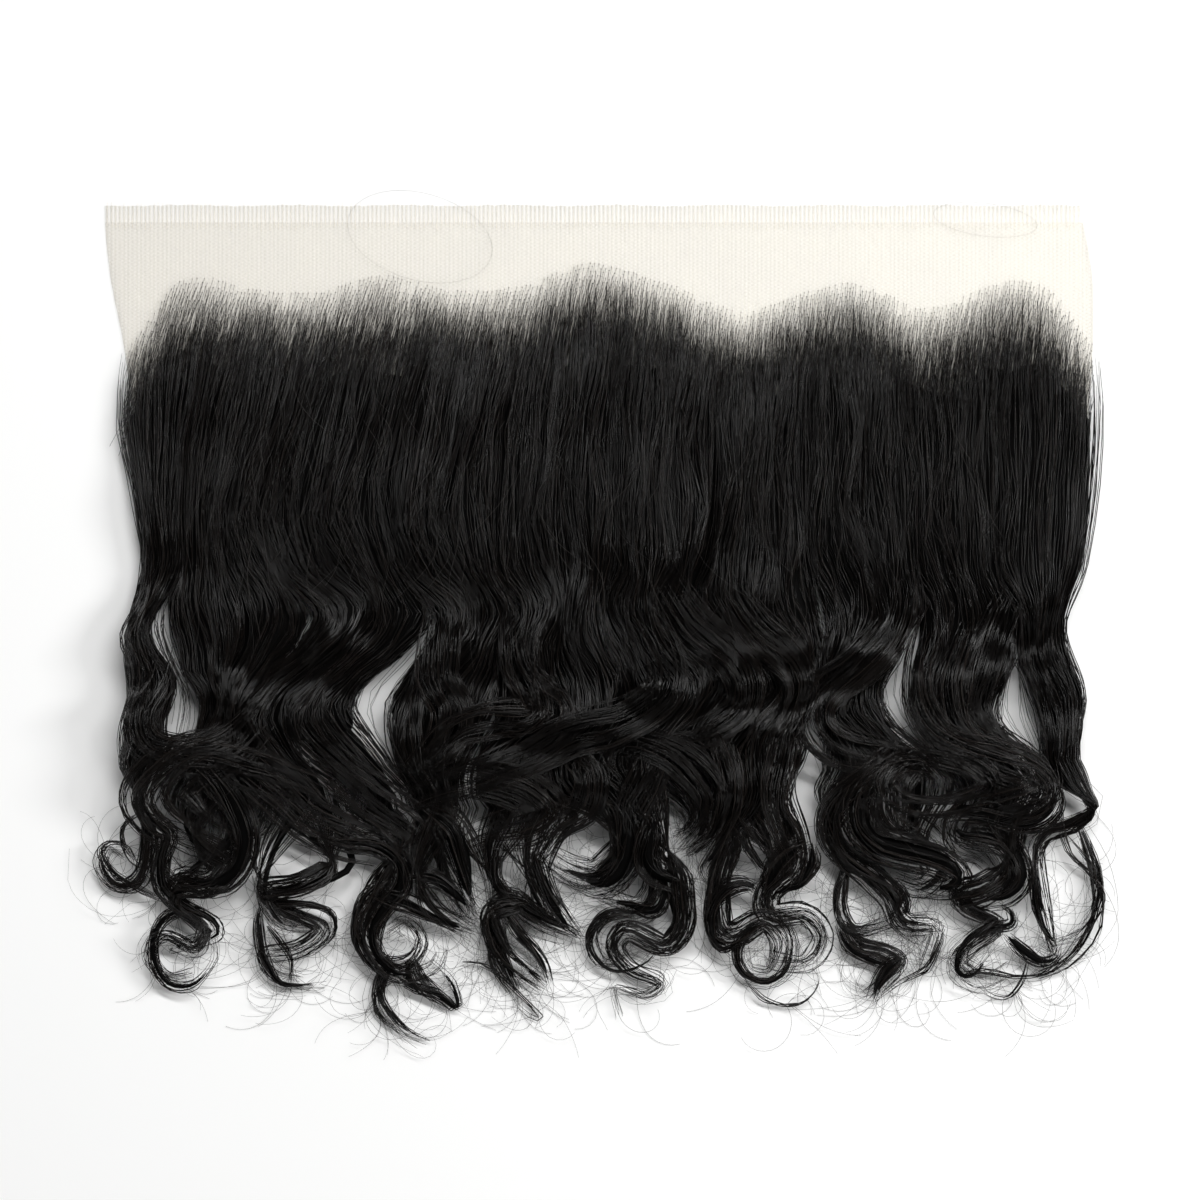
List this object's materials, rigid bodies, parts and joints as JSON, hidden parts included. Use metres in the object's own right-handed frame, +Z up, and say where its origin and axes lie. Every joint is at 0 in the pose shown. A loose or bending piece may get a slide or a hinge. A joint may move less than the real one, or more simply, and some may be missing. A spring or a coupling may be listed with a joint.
{
  "type": "lace frontal",
  "caption": "Sheer lace hair frontal laid flat: a bare lace strip in front, and wavy dark hair tied along a soft hairline that ends in loose curls.",
  "frame": {"origin": "on the lace's flat underside, in the middle of the hair's width, at the hairline", "axes": "+X along the hairline, to the right as seen from above with the bare strip at the top; +Y from the curls towards the lace's bare front edge; +Z up, away from the surface that it lies on"},
  "size_m": [0.3405, 0.2842, 0.0168],
  "materials": {
    "lace_net": "sheer beige net with fine ribs across its front strip and a cut, slightly frayed front edge",
    "dark_hair": "fine near-black hair strands with a soft grey shine on each wave and browner tips"
  },
  "bodies": {
    "root": {"lace_panel": "lace_net", "hair_section_01": "dark_hair", "hair_section_02": "dark_hair", "hair_section_03": "dark_hair", "hair_section_04": "dark_hair", "hair_section_05": "dark_hair", "hair_section_06": "dark_hair", "hair_section_07": "dark_hair", "hair_section_08": "dark_hair", "hair_section_09": "dark_hair", "hair_section_10": "dark_hair"}
  },
  "joints": []
}
